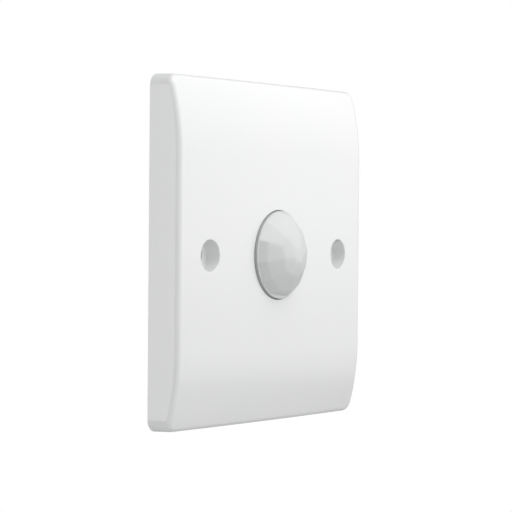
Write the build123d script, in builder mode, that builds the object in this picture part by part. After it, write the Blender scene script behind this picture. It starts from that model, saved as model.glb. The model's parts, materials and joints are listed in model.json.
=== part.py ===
from build123d import *
import math
import os

os.makedirs("parts", exist_ok=True)

# X runs to the right seen from the front, Y into the wall and Z up, in millimetres.
# The origin lies on the wall's surface, midway between the two fixing screws.
# A depth is a Y value: negative in front of the wall, positive inside the wall box.

# Front plate
plate_width = 86.0
plate_height = 86.0
plate_rise = 0.65
plan_radius = 3.0
side_draft = 1.6
face_depth = 9.8
face_crown = 1.1
flat_half_height = 24.3
end_radius = 60.0
face_wall = 2.4
side_wall = 2.0
rim_round = 1.5
rib_width = 1.2
rib_depth = 2.5

# Fixing screws of the wall box
fixing_spacing = 60.3
fixing_hole_radius = 2.0
pocket_radius = 3.87
pocket_depth = 3.7
fixing_boss_radius = 4.9

# Facetted lens
collar_radius = 11.2
collar_proud = 1.06
collar_wall = 1.0
lens_gap = 0.2
dome_centre_depth = -3.36
facet_distance = 12.55
dome_wall = 0.7
ledge_width = 0.85
flange_radius = 12.9
flange_thickness = 1.2
facet_turn = 130.0
facet_tilts = (17.0, 34.0, 50.5)
facet_counts = (6, 12, 12)

# Lens seat and retaining ring
seat_gap = 0.25
socket_wall = 1.6
socket_depth = 2.9
ring_bore_radius = 10.4
ring_flange = 1.2
stake_circle_radius = 16.4
stake_radius = 1.0
stake_count = 3
ear_radius = 2.2
stake_proud = 0.9

# Rear housing
housing_width = 49.0
housing_height = 56.0
housing_wall = 1.8
housing_plan_radius = 3.0
housing_edge_round = 1.0
rim_depth = -5.2
base_depth = 12.4
step_depth = 18.8
hump_depth = 23.4
step_inset = 8.7
hump_inset = 15.1
hump_gap = 0.8
frame_lip = 0.8
frame_lip_height = 1.8
frame_gap = 0.2
vent_width = 1.4
vent_length = 9.0
vent_pitch = 2.8
back_vents = 5
side_vents = 5

# Housing screws
ear_spacing_x = 37.0
ear_stand = 3.0
housing_ear_radius = 3.2
housing_ear_thickness = 2.0
ear_depth = 0.3
plate_boss_radius = 2.9
housing_screw_radius = 1.2
housing_screw_length = 6.8
housing_screw_head_radius = 2.5
housing_screw_head = 1.6
screw_hole_gap = 0.35
pilot_gap = 0.05

# Circuit boards
sensor_board_gap = 1.2
sensor_board_height = 40.0
sensor_board_depth = 0.2
sensor_board_thickness = 1.2
power_board_depth = 4.4
power_board_thickness = 1.6
board_gap = 0.3
board_screw_radius = 1.0
board_screw_head_radius = 1.9
board_screw_head = 1.3
board_screw_length = 5.0
post_radius = 2.3
post_inset = 3.5
post_spacing_z = 30.0
low_post_inset = 3.4
low_post_rise = -15.0
top_post_inset = 6.9
top_post_rise = 19.0
ledge_width_z = 3.0
ledge_reach = 0.9
side_ledge_rise = 3.2

# Infrared sensor
can_radius = 4.1
can_front = -4.0
can_wall = 0.25
header_radius = 4.55
header_thickness = 0.5
header_plug_radius = 3.7
header_plug_height = 0.9
window_width = 4.4
window_height = 3.4
window_thickness = 0.4
window_margin = 0.5
element_size = (6.0, 2.2, 0.4)
pir_lead_radius = 0.22
pir_lead_circle_radius = 2.54
pir_lead_tail = 1.6
lead_gap = 0.15

# Light sensor
light_sensor_radius = 2.4
light_sensor_thickness = 1.9
light_sensor_place = (6.0, -4.6)
light_sensor_height = 1.2
light_sensor_lead = 0.5
light_sensor_lead_spacing = 3.0

# Chips
chip_length = 9.9
chip_width = 3.9
chip_thickness = 1.5
chip_standoff = 0.15
chip_legs_per_side = 8
chip_leg_pitch = 1.27
chip_leg_width = 0.4
chip_leg_reach = 1.05
chip_leg_thickness = 0.2
chip_place = (-2.0, 6.0)
resistor_size = (2.0, 1.25, 0.5)
resistor_columns = 4
resistor_rows = 2
resistor_pitch = (3.4, 3.0)
resistor_inset = 12.0
resistor_rise = -5.0

# Connector between the boards
pin_pitch = 2.54
pin_count = 5
pin_side = 0.64
pin_tail = 0.9
pin_gap = 0.12
header_strip_width = 2.5
header_strip_height = 2.5
header_place = (8.0, -12.5)

# Relay
relay_width = 15.5
relay_length = 19.0
relay_height = 15.3
relay_inset = 1.2
relay_wall = 0.8
relay_base_thickness = 1.5
relay_side_gap = 0.2
coil_radius = 4.9
coil_length = 6.4
coil_shift = -1.6
bobbin_flange = 0.8
bobbin_flange_side = 10.2
bobbin_hub_wall = 0.8
core_radius = 1.9
pole_radius = 3.5
pole_thickness = 0.7
core_gap = 0.05
yoke_width = 10.4
yoke_thickness = 1.0
armature_thickness = 1.0
armature_gap = 0.6
armature_seat_gap = 0.1
blade_width = 3.6
blade_thickness = 0.3
contact_radius = 1.3
contact_thickness = 0.6
contact_travel = 0.85
spring_width = 5.0
spring_thickness = 0.3
relay_pin_width = 1.0
relay_pin_thickness = 0.5
relay_pin_tail = 1.2

# Supply parts
dropper_size = (18.0, 7.0, 12.5)
dropper_rise = -5.0
dropper_round = 0.8
electrolytic_radius = 5.0
electrolytic_height = 12.5
electrolytic_pitch = 12.0
electrolytic_bung = 1.2
sleeve_wall = 0.2
sleeve_lip = 0.9
diode_radius = 1.35
diode_length = 5.2
diode_count = 4
diode_pitch = 3.5
diode_gap = 1.1
diode_lead_span = 9.2
wire_side = 0.6
varistor_radius = 3.5
varistor_thickness = 3.4
varistor_inset = 4.4
varistor_gap = 0.9
varistor_height = 1.6
fuse_radius = 1.6
fuse_end_radius = 1.8
fuse_length = 9.0
fuse_cap = 1.5
fuse_lead_span = 12.6
fuse_place = (-9.5, -13.2)
transistor_radius = 2.3
transistor_flat = 1.5
transistor_height = 4.6
transistor_standoff = 2.0
transistor_place = (0.0, -13.0)

# Setting knobs
trimmer_width = 10.0
trimmer_length = 10.5
trimmer_height = 5.0
trimmer_corner = 1.0
knob_inset = 6.9
knob_pitch = 11.4
knob_radius = 2.9
knob_disc_radius = 3.9
knob_disc = 1.0
knob_pin_radius = 1.45
knob_pin_length = 2.6
knob_proud = 0.3
knob_slot_width = 0.9
knob_slot_depth = 1.0
knob_slot_length = 4.2
running_gap = 0.05
free_gap = 0.3

# Terminals
pole_pitch = 7.62
terminal_names = ("live", "neutral", "load")
block_end_wall = 0.35
block_depth_z = 10.6
block_height = 14.2
block_proud = 0.05
block_front_wall = 1.1
entry_width = 4.8
chamber_width = 6.3
chamber_length = 7.9
chamber_floor = 0.6
shelf_thickness = 0.8
screw_recess = 0.6
recess_lip_radius = 2.25
terminal_screw_radius = 1.5
terminal_head_radius = 2.6
terminal_head = 1.5
terminal_slot_width = 0.8
terminal_slot_depth = 0.8
head_gap = 0.3
shank_gap = 0.25
thread_gap = 0.06
clamp_wall = 0.75
clamp_floor = 0.8
clamp_top = 1.4
clamp_opening = 5.2
clamp_length = 5.6
clamp_travel = 3.0
chamber_gap = 0.15
bar_thickness = 0.8
bar_width = 3.9
bar_tail = 1.2
bar_gap = 0.1

fixing_x = fixing_spacing / 2
half_width = plate_width / 2
half_height = plate_height / 2
crown_radius = (half_width**2 + face_crown**2) / (2 * face_crown)
inner_face = face_wall - face_depth
inner_x = housing_width / 2 - housing_wall
inner_z = housing_height / 2 - housing_wall
power_back = power_board_depth + power_board_thickness
sensor_back = sensor_board_depth + sensor_board_thickness
power_board_width = 2 * (inner_x - board_gap)
power_board_height = 2 * (inner_z - board_gap)
sensor_board_width = 2 * (inner_x - sensor_board_gap)
ear_spacing_z = housing_height + 2 * ear_stand
tier_depths = (base_depth, step_depth, hump_depth)
tier_lefts = [inset - housing_width / 2 for inset in (0, step_inset, hump_inset)]
base_inner, step_inner, hump_inner = [depth - housing_wall for depth in tier_depths]


def layer(depth):
    """The plane parallel to the wall at this depth, facing front: sketch x is X and sketch y is Z."""
    return Plane.XZ.offset(-depth)


def face_at(x):
    """Depth of the crowned face this far to the side of the lens."""
    return -face_depth + crown_radius - math.sqrt(crown_radius**2 - x**2)


def turned(outline, x=0.0, z=0.0, mode=Mode.ADD):
    """Turns an outline of (radius, depth) points about the line through (x, z) square to the wall."""
    with BuildSketch(Plane.XY.offset(z)) as section:
        with BuildLine():
            Polyline([(x + radius, depth) for radius, depth in outline], close=True)
        make_face()
    revolve(section.sketch, axis=Axis((x, 0, z), (0, 1, 0)), mode=mode)


def rod(radius, back, front, places=((0.0, 0.0),), mode=Mode.ADD):
    """Round rods or holes square to the wall at the given (x, z) places."""
    with BuildSketch(layer(back)) as section:
        with Locations(*places):
            Circle(radius)
    extrude(section.sketch, amount=back - front, mode=mode)


def block(width, height, back, front, places=((0.0, 0.0),), mode=Mode.ADD):
    """Blocks or rectangular holes square to the wall, centred on the given (x, z) places."""
    with BuildSketch(layer(back)) as section:
        with Locations(*places):
            Rectangle(width, height)
    extrude(section.sketch, amount=back - front, mode=mode)


def finish(part, name):
    part.label = name
    export_step(part, f"parts/{name}.step")


# Front plate

def plate_form(side, skin):
    """The plate's outer form, or the form this much further in at its sides and at its face."""
    reach = half_height - side
    run = reach - flat_half_height
    radius = end_radius - skin
    turn = math.degrees(math.asin(half_width / crown_radius)) * 1.05
    start = math.radians(-turn)
    centre = Vector(0, crown_radius - face_depth, 0)
    out = Vector(math.sin(start), -math.cos(start), 0)
    section_plane = Plane(origin=centre, x_dir=out, z_dir=out.cross(Vector(0, 0, 1)))
    front = crown_radius - skin
    end_front = front - radius + math.sqrt(radius**2 - run**2)
    back = crown_radius - face_depth - 2 * face_crown
    low, high = plate_rise - flat_half_height, plate_rise + flat_half_height
    bend = math.asin(run / radius) / 2
    mid_run = radius * math.sin(bend)
    mid_front = front - radius + radius * math.cos(bend)
    with BuildPart() as form:
        with BuildSketch(section_plane) as section:
            with BuildLine():
                Line((front, low), (front, high))
                ThreePointArc((front, high), (mid_front, high + mid_run), (end_front, high + run))
                Polyline((end_front, high + run), (back, high + run), (back, low - run), (end_front, low - run))
                ThreePointArc((end_front, low - run), (mid_front, low - mid_run), (front, low))
            make_face()
        revolve(section.sketch, axis=Axis(centre, (0, 0, 1)), revolution_arc=2 * turn)
        with BuildSketch(layer(0)) as outline:
            with Locations((0, plate_rise)):
                RectangleRounded(plate_width - 2 * side, plate_height - 2 * side, plan_radius - side / 2)
        extrude(outline.sketch, amount=face_depth + face_crown, taper=side_draft, mode=Mode.INTERSECT)
    return form.part


with BuildPart() as outer_form:
    add(plate_form(0, 0))
    front_faces = outer_form.faces().filter_by(lambda f: f.normal_at().Y < -0.8)
    side_faces = outer_form.faces().filter_by(lambda f: abs(f.normal_at().Y) < 0.5)
    fillet(front_faces.edges() & side_faces.edges(), radius=rim_round)

socket_radius = flange_radius + seat_gap
socket_outer_radius = socket_radius + socket_wall
socket_back = inner_face + socket_depth
opening_radius = collar_radius + lens_gap
stake_places = [
    (stake_circle_radius * math.cos(math.radians(a)), stake_circle_radius * math.sin(math.radians(a)))
    for a in [90 + 360 * i / stake_count for i in range(stake_count)]
]
stake_back = socket_back + ring_flange + stake_proud
fixing_places = [(-fixing_x, 0), (fixing_x, 0)]
ear_places = [(x * ear_spacing_x / 2, z * ear_spacing_z / 2) for x in (-1, 1) for z in (-1, 1)]
post_x = sensor_board_width / 2 - post_inset
post_places = [(x * post_x, z * post_spacing_z / 2) for x in (-1, 1) for z in (-1, 1)]
screwed_posts = [post_places[1], post_places[2]]
pocket_floor = face_at(fixing_x) + pocket_depth
root = inner_face - face_wall / 4

with BuildPart() as inside_form:
    add(plate_form(side_wall / 2, face_wall / 2))
    block(plate_width - 2 * side_wall, plate_height - 2 * side_wall, hump_depth, 0)

with BuildPart() as inner_ribs:
    rod(fixing_boss_radius, 0, root, fixing_places)
    rod(socket_outer_radius, socket_back, root)
    rod(stake_radius, stake_back, root, stake_places)
    rod(plate_boss_radius, ear_depth, root, ear_places)
    rod(post_radius, sensor_board_depth, root, post_places)
    with BuildSketch(layer(rim_depth)) as frame_section:
        RectangleRounded(housing_width, housing_height, housing_plan_radius)
        Rectangle(2 * inner_x, 2 * inner_z, mode=Mode.SUBTRACT)
    extrude(frame_section.sketch, amount=rim_depth - root)
    lip_x = 2 * (inner_x - frame_gap)
    lip_z = 2 * (inner_z - frame_gap)
    with BuildSketch(layer(rim_depth + frame_lip_height)) as lip_section:
        Rectangle(lip_x, lip_z)
        Rectangle(lip_x - 2 * frame_lip, lip_z - 2 * frame_lip, mode=Mode.SUBTRACT)
    extrude(lip_section.sketch, amount=rim_depth + frame_lip_height - root)
    rib_run = half_width - fixing_x
    block(rib_run, rib_width, -rib_depth, root, [(s * (fixing_x + rib_run / 2), 0) for s in (-1, 1)])
    high_run = half_height - housing_height / 2 - board_gap
    high_middle = half_height - high_run / 2
    block(rib_width, high_run, -rib_depth, root, [
        (x * ear_spacing_x / 4, z * high_middle) for x in (-1, 1) for z in (-1, 1)])
    boss_run = half_height - ear_spacing_z / 2
    boss_middle = ear_spacing_z / 2 + boss_run / 2
    block(rib_width, boss_run, -rib_depth, root, [
        (x * ear_spacing_x / 2, z * boss_middle) for x in (-1, 1) for z in (-1, 1)])
    add(inside_form.part, mode=Mode.INTERSECT)

with BuildPart() as front_plate:
    add(outer_form.part)
    add(plate_form(side_wall, face_wall), mode=Mode.SUBTRACT)
    add(inner_ribs.part)
    rod(opening_radius, socket_back, -face_depth - rim_round, mode=Mode.SUBTRACT)
    rod(socket_radius, socket_back, inner_face, mode=Mode.SUBTRACT)
    rod(pocket_radius, pocket_floor, -face_depth - rim_round, fixing_places, mode=Mode.SUBTRACT)
    rod(fixing_hole_radius, 0, pocket_floor, fixing_places, mode=Mode.SUBTRACT)
    rod(housing_screw_radius + pilot_gap, ear_depth, ear_depth - housing_screw_length, ear_places,
        mode=Mode.SUBTRACT)
    rod(board_screw_radius + pilot_gap, sensor_board_depth, sensor_board_depth - board_screw_length,
        screwed_posts, mode=Mode.SUBTRACT)
finish(front_plate.part, "front_plate")

# Lens, a dome of flat facets with a smooth inside

collar_front = -face_depth - collar_proud
dome_centre = Vector(0, dome_centre_depth, 0)
dome_foot_radius = collar_radius - ledge_width
dome_inner_radius = facet_distance - dome_wall
collar_inner_radius = collar_radius - collar_wall


def facet_planes():
    """Planes of the facets, in rings about the middle one, each ring turned half a facet from its joints."""
    directions = [(0.0, 0.0)]
    for tilt, count in zip(facet_tilts, facet_counts):
        directions += [(tilt, facet_turn + 360 * (i + 0.5) / count) for i in range(count)]
    planes = []
    for tilt, bearing in directions:
        tilt, bearing = math.radians(tilt), math.radians(bearing)
        side = math.sin(tilt)
        normal = Vector(side * math.cos(bearing), -math.cos(tilt), side * math.sin(bearing))
        planes.append(Plane(origin=dome_centre + normal * facet_distance, z_dir=normal))
    return planes


with BuildPart() as dome:
    rod(dome_foot_radius, collar_front + collar_proud, dome_centre_depth - 2 * facet_distance)
    for plane in facet_planes():
        split(bisect_by=plane, keep=Keep.BOTTOM)

with BuildPart() as fresnel_lens:
    turned([(0, inner_face + flange_thickness), (flange_radius, inner_face + flange_thickness),
            (flange_radius, inner_face), (collar_radius, inner_face), (collar_radius, collar_front),
            (0, collar_front)])
    add(dome.part)
    hollow_front = dome_centre_depth - math.sqrt(dome_inner_radius**2 - collar_inner_radius**2)
    with BuildSketch(Plane.XY) as hollow:
        with BuildLine():
            Line((0, inner_face + flange_thickness), (collar_inner_radius, inner_face + flange_thickness))
            Line((collar_inner_radius, inner_face + flange_thickness), (collar_inner_radius, hollow_front))
            lean = math.asin(collar_inner_radius / dome_inner_radius) / 2
            ThreePointArc(
                (collar_inner_radius, hollow_front),
                (dome_inner_radius * math.sin(lean), dome_centre_depth - dome_inner_radius * math.cos(lean)),
                (0, dome_centre_depth - dome_inner_radius))
            Line((0, dome_centre_depth - dome_inner_radius), (0, inner_face + flange_thickness))
        make_face()
    revolve(hollow.sketch, axis=Axis.Y, mode=Mode.SUBTRACT)
finish(fresnel_lens.part, "fresnel_lens")

ring_front = inner_face + flange_thickness
with BuildPart() as lens_retaining_ring:
    turned([(ring_bore_radius, ring_front), (flange_radius, ring_front), (flange_radius, socket_back),
            (socket_outer_radius, socket_back), (socket_outer_radius, socket_back + ring_flange),
            (ring_bore_radius, socket_back + ring_flange)])
    ears_back = socket_back + ring_flange
    rod(ear_radius, ears_back, socket_back, stake_places)
    rod(stake_radius + pilot_gap, ears_back, socket_back, stake_places, mode=Mode.SUBTRACT)
finish(lens_retaining_ring.part, "lens_retaining_ring")

# Rear housing, a stepped shell open to the front

low_post_x = power_board_width / 2 - low_post_inset
low_posts = [(-low_post_x, low_post_rise), (low_post_x, low_post_rise)]
top_post_place = (top_post_inset - power_board_width / 2, top_post_rise)
power_posts = low_posts + [top_post_place]
pole_places = [(i - (len(terminal_names) - 1) / 2) * pole_pitch for i in range(len(terminal_names))]
block_width = len(terminal_names) * pole_pitch + 2 * block_end_wall
block_low = -housing_height / 2 + block_proud
block_high = block_low + block_depth_z
knob_column = power_board_width / 2 - knob_inset
time_knob_rise = power_board_height / 2 - knob_inset
lux_knob_rise = time_knob_rise - knob_pitch
knob_places = {"time": (knob_column, time_knob_rise), "lux": (knob_column, lux_knob_rise)}
electrolytic_x = power_board_width / 2 - board_gap - electrolytic_radius - free_gap
electrolytic_place = (electrolytic_x, lux_knob_rise - electrolytic_pitch)
hump_contents_foot = min(electrolytic_place[1] - electrolytic_radius, dropper_rise - dropper_size[1] / 2)
hump_foot = hump_contents_foot - hump_gap - housing_wall
tier_feet = (-housing_height / 2, -housing_height / 2, hump_foot)
relay_x = tier_lefts[2] + housing_wall + board_gap + relay_width / 2
relay_rise = inner_z - relay_inset - relay_length / 2
dropper_x = tier_lefts[2] + housing_wall + board_gap + dropper_size[0] / 2
varistor_z = relay_rise - relay_length / 2 - varistor_gap - varistor_thickness / 2
varistor_place = (tier_lefts[1] + housing_wall + varistor_inset, varistor_z)
diode_rise = varistor_z - varistor_thickness / 2 - diode_gap - diode_lead_span / 2


def tier(left, foot, back, inset=0.0):
    """A box of the housing that ends at its top right corner, or the space this far inside its walls."""
    width = housing_width / 2 - left - 2 * inset
    height = housing_height / 2 - foot - 2 * inset
    with BuildPart() as form:
        with BuildSketch(layer(back - inset)) as section:
            with Locations((housing_width / 2 - inset - width / 2, housing_height / 2 - inset - height / 2)):
                if inset:
                    Rectangle(width, height)
                else:
                    RectangleRounded(width, height, housing_plan_radius)
        extrude(section.sketch, amount=back - inset - rim_depth)
        if not inset:
            fillet(faces().sort_by(Axis.Y)[-1].edges(), radius=housing_edge_round)
    return form.part


with BuildPart() as rear_housing:
    for left, foot, back in zip(tier_lefts, tier_feet, tier_depths):
        add(tier(left, foot, back))
    with BuildSketch(layer(ear_depth + housing_ear_thickness)) as ear_section:
        with Locations(*ear_places):
            Circle(housing_ear_radius)
        for x, z in ear_places:
            with Locations((x, (z + math.copysign(housing_height / 2 - housing_plan_radius, z)) / 2)):
                Rectangle(2 * housing_ear_radius, abs(z) - housing_height / 2 + housing_plan_radius)
    extrude(ear_section.sketch, amount=housing_ear_thickness)
    for left, foot, back in zip(tier_lefts, tier_feet, tier_depths):
        add(tier(left, foot, back, housing_wall), mode=Mode.SUBTRACT)
    rod(post_radius, base_inner, power_back, [low_posts[0], top_post_place])
    rod(post_radius, step_inner, power_back, [low_posts[1]])
    ledge = inner_x - power_board_width / 2 + ledge_reach
    block(ledge, ledge_width_z, base_inner, power_back, [(ledge / 2 - inner_x, side_ledge_rise)])
    block(ledge, ledge_width_z, hump_inner, power_back, [(inner_x - ledge / 2, side_ledge_rise)])
    block(ledge_width_z, ledge, hump_inner, power_back, [(knob_column, inner_z - ledge / 2)])
    rod(board_screw_radius + pilot_gap, power_back + board_screw_length, power_back, power_posts,
        mode=Mode.SUBTRACT)
    rod(housing_screw_radius + screw_hole_gap, ear_depth + housing_ear_thickness, ear_depth, ear_places,
        mode=Mode.SUBTRACT)
    rod(knob_radius + free_gap, hump_depth, hump_inner, knob_places.values(), mode=Mode.SUBTRACT)
    block_space = block_width + 2 * board_gap
    block(block_space, block_high + board_gap + housing_height / 2 + board_gap, hump_depth, step_inner,
          [(0, (block_high - housing_height / 2) / 2)], mode=Mode.SUBTRACT)
    block(block_space, 3 * housing_wall, step_depth, power_back - board_gap, [(0, -housing_height / 2)],
          mode=Mode.SUBTRACT)
    block(vent_width, vent_length, hump_depth, hump_inner, [
        (dropper_x + (i - (back_vents - 1) / 2) * vent_pitch, dropper_rise) for i in range(back_vents)],
        mode=Mode.SUBTRACT)
    vent_middle = (power_back + hump_inner) / 2
    block(2 * housing_wall, vent_width, vent_middle + vent_length / 2, vent_middle - vent_length / 2, [
        (inner_x + housing_wall, relay_rise + (i - (side_vents - 1) / 2) * vent_pitch) for i in range(side_vents)],
        mode=Mode.SUBTRACT)
finish(rear_housing.part, "rear_housing")


def pan_screws(name, length, radius, head_radius, head, screws):
    """One node of plain pan head screws, each given by its place, seat depth and way in."""
    with BuildPart() as group:
        for (x, z), seat, way in screws:
            turned([(0, seat + way * length), (radius, seat + way * length), (radius, seat),
                    (head_radius, seat), (head_radius, seat - way * head / 2),
                    (head_radius * 0.75, seat - way * head), (0, seat - way * head)], x, z)
    finish(group.part, name)


ear_back = ear_depth + housing_ear_thickness
pan_screws("housing_screws", housing_screw_length, housing_screw_radius, housing_screw_head_radius,
           housing_screw_head, [(place, ear_back, -1) for place in ear_places])
pan_screws("board_screws", board_screw_length, board_screw_radius, board_screw_head_radius, board_screw_head,
           [(place, sensor_back, -1) for place in screwed_posts]
           + [(place, power_board_depth, 1) for place in power_posts])

# Levels inside the relay, from its base on the board to the armature behind the coil

base_back = power_back + relay_base_thickness
relay_top = power_back + relay_height
coil_z = relay_rise + coil_shift
yoke_front = base_back + free_gap
bobbin_front = yoke_front + yoke_thickness
coil_front = bobbin_front + bobbin_flange
coil_back = coil_front + coil_length
bobbin_back = coil_back + bobbin_flange
pole_back = bobbin_back + pole_thickness
armature_front = pole_back + armature_gap
leg_back = armature_front - armature_seat_gap
armature_back = armature_front + armature_thickness
leg_z = coil_z - bobbin_flange_side / 2 - yoke_thickness / 2 - pilot_gap
blade_back = armature_back + blade_thickness
contact_z = relay_rise + relay_length / 2 - relay_wall - relay_side_gap - contact_radius - free_gap
hub_radius = core_radius + core_gap + bobbin_hub_wall
fixed_leg_place = (relay_x, contact_z + contact_radius)
coil_pin_places = [(relay_x + s * (yoke_width / 2 - relay_pin_width), coil_z) for s in (-1, 1)]
relay_pin_slot = (relay_pin_width + 2 * pin_gap, relay_pin_thickness + 2 * pin_gap)
pins_front = power_board_depth - relay_pin_tail

# Circuit boards

pin_places = [(header_place[0] + (i - (pin_count - 1) / 2) * pin_pitch, header_place[1])
              for i in range(pin_count)]
pir_lead_places = [(pir_lead_circle_radius * math.cos(math.radians(a)),
                    pir_lead_circle_radius * math.sin(math.radians(a))) for a in (0, 180, 270)]
light_lead_places = [(light_sensor_place[0], light_sensor_place[1] + s * light_sensor_lead_spacing / 2)
                     for s in (-1, 1)]
bar_leg_z = block_high - block_front_wall

with BuildPart() as sensor_board:
    block(sensor_board_width, sensor_board_height, sensor_back, sensor_board_depth)
    fillet(edges().filter_by(Axis.Y), radius=plan_radius / 2)
    rod(board_screw_radius + screw_hole_gap, sensor_back, sensor_board_depth, screwed_posts, mode=Mode.SUBTRACT)
    rod(pir_lead_radius + lead_gap, sensor_back, sensor_board_depth, pir_lead_places, mode=Mode.SUBTRACT)
    hole = light_sensor_lead + 2 * lead_gap
    block(hole, hole, sensor_back, sensor_board_depth, light_lead_places, mode=Mode.SUBTRACT)
    block(pin_side + 2 * pin_gap, pin_side + 2 * pin_gap, sensor_back, sensor_board_depth, pin_places,
          mode=Mode.SUBTRACT)
finish(sensor_board.part, "sensor_board")

with BuildPart() as power_board:
    block(power_board_width, power_board_height, power_back, power_board_depth)
    rod(board_screw_radius + screw_hole_gap, power_back, power_board_depth, power_posts, mode=Mode.SUBTRACT)
    block(pin_side + 2 * pin_gap, pin_side + 2 * pin_gap, power_back, power_board_depth, pin_places,
          mode=Mode.SUBTRACT)
    block(bar_width + 2 * pin_gap, bar_thickness + 2 * pin_gap, power_back, power_board_depth,
          [(x, bar_leg_z) for x in pole_places], mode=Mode.SUBTRACT)
    block(*relay_pin_slot, power_back, power_board_depth, coil_pin_places + [fixed_leg_place],
          mode=Mode.SUBTRACT)
finish(power_board.part, "power_board")

with BuildPart() as link_header:
    block(pin_count * pin_pitch, header_strip_width, sensor_back + header_strip_height, sensor_back,
          [header_place])
    block(pin_side + 2 * pin_gap, pin_side + 2 * pin_gap, sensor_back + header_strip_height, sensor_back,
          pin_places, mode=Mode.SUBTRACT)
finish(link_header.part, "link_header")

with BuildPart() as link_pins:
    block(pin_side, pin_side, power_back + pin_tail, sensor_board_depth - pin_tail, pin_places)
finish(link_pins.part, "link_pins")

# Infrared sensor in its round can

can_back = sensor_board_depth - header_thickness
plug_front = can_back - header_plug_height
lead_front = plug_front - header_plug_height / 2
with BuildPart() as pir_base:
    turned([(0, sensor_board_depth), (header_radius, sensor_board_depth), (header_radius, can_back),
            (header_plug_radius, can_back), (header_plug_radius, plug_front), (0, plug_front)])
    rod(pir_lead_radius + pilot_gap, sensor_board_depth, plug_front, pir_lead_places, mode=Mode.SUBTRACT)
finish(pir_base.part, "pir_base")

with BuildPart() as pir_can:
    turned([(0, can_front), (can_radius, can_front), (can_radius, can_back - can_wall),
            (header_radius, can_back - can_wall), (header_radius, can_back),
            (can_radius - can_wall, can_back), (can_radius - can_wall, can_front + can_wall),
            (0, can_front + can_wall)])
    block(window_width, window_height, can_front + can_wall, can_front, mode=Mode.SUBTRACT)
finish(pir_can.part, "pir_can")

with BuildPart() as pir_window:
    window_back = can_front + can_wall + window_thickness
    block(window_width + 2 * window_margin, window_height + 2 * window_margin, window_back,
          can_front + can_wall)
finish(pir_window.part, "pir_window")

with BuildPart() as pir_element:
    block(*element_size[:2], lead_front, lead_front - element_size[2])
finish(pir_element.part, "pir_element")

with BuildPart() as pir_leads:
    rod(pir_lead_radius, sensor_back + pir_lead_tail, lead_front, pir_lead_places)
finish(pir_leads.part, "pir_leads")

# Light sensor, a disc with two leads

with BuildPart() as light_sensor:
    light_back = sensor_board_depth - light_sensor_height
    rod(light_sensor_radius, light_back, light_back - light_sensor_thickness, [light_sensor_place])
    fillet(edges().sort_by(Axis.Y)[0], radius=light_sensor_thickness / 4)
    block(light_sensor_lead, light_sensor_lead, sensor_back + pin_tail, light_back, light_lead_places)
finish(light_sensor.part, "light_sensor")

# Chips on the back of the sensor board

leg_places = [
    (chip_place[0] + (i - (chip_legs_per_side - 1) / 2) * chip_leg_pitch, side)
    for i in range(chip_legs_per_side) for side in (-1, 1)
]
with BuildPart() as control_chip:
    chip_front = sensor_back + chip_standoff
    block(chip_length, chip_width, chip_front + chip_thickness, chip_front, [chip_place])
    chamfer(edges().filter_by(Axis.X).group_by(Axis.Y)[-1], length=chip_thickness / 5)
finish(control_chip.part, "control_chip")

with BuildPart() as chip_legs:
    leg_height = chip_standoff + chip_thickness / 2
    for x, side in leg_places:
        foot_z = chip_place[1] + side * (chip_width / 2 + chip_leg_reach / 2)
        riser_z = chip_place[1] + side * (chip_width / 2 + chip_leg_thickness / 2)
        block(chip_leg_width, chip_leg_reach, sensor_back + chip_leg_thickness, sensor_back, [(x, foot_z)])
        block(chip_leg_width, chip_leg_thickness, sensor_back + leg_height, sensor_back, [(x, riser_z)])
finish(chip_legs.part, "chip_legs")

with BuildPart() as small_resistors:
    resistor_x = resistor_inset - sensor_board_width / 2
    block(resistor_size[0], resistor_size[1], sensor_back + resistor_size[2], sensor_back, [
        (resistor_x + (i - (resistor_columns - 1) / 2) * resistor_pitch[0], resistor_rise - j * resistor_pitch[1])
        for i in range(resistor_columns) for j in range(resistor_rows)])
finish(small_resistors.part, "small_resistors")

# Relay: a coil on a yoke, and an armature that rocks on the yoke's back edge


with BuildPart() as relay_base:
    block(relay_width - 2 * relay_wall - 2 * relay_side_gap, relay_length - 2 * relay_wall - 2 * relay_side_gap,
          base_back, power_back, [(relay_x, relay_rise)])
    block(*relay_pin_slot, base_back, power_back, coil_pin_places + [fixed_leg_place], mode=Mode.SUBTRACT)
    block(yoke_width / 2, yoke_thickness * 4, yoke_front, base_back, [(relay_x, coil_z)])
finish(relay_base.part, "relay_base")

with BuildPart() as relay_cover:
    block(relay_width, relay_length, relay_top, power_back, [(relay_x, relay_rise)])
    fillet(edges().filter_by(Axis.Y), radius=relay_wall)
    block(relay_width - 2 * relay_wall, relay_length - 2 * relay_wall, relay_top - relay_wall, power_back,
          [(relay_x, relay_rise)], mode=Mode.SUBTRACT)
finish(relay_cover.part, "relay_cover")

with BuildPart() as relay_bobbin:
    block(bobbin_flange_side, bobbin_flange_side, coil_front, bobbin_front, [(relay_x, coil_z)])
    block(bobbin_flange_side, bobbin_flange_side, bobbin_back, coil_back, [(relay_x, coil_z)])
    rod(hub_radius, coil_back, coil_front, [(relay_x, coil_z)])
    rod(core_radius + core_gap, bobbin_back, bobbin_front, [(relay_x, coil_z)], mode=Mode.SUBTRACT)
finish(relay_bobbin.part, "relay_bobbin")

with BuildPart() as relay_coil:
    rod(coil_radius, coil_back, coil_front, [(relay_x, coil_z)])
    rod(hub_radius + core_gap, coil_back, coil_front, [(relay_x, coil_z)], mode=Mode.SUBTRACT)
finish(relay_coil.part, "relay_coil")

with BuildPart() as relay_core:
    turned([(0, yoke_front), (core_radius, yoke_front), (core_radius, bobbin_back),
            (pole_radius, bobbin_back), (pole_radius, pole_back), (0, pole_back)], relay_x, coil_z)
finish(relay_core.part, "relay_core")

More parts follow.
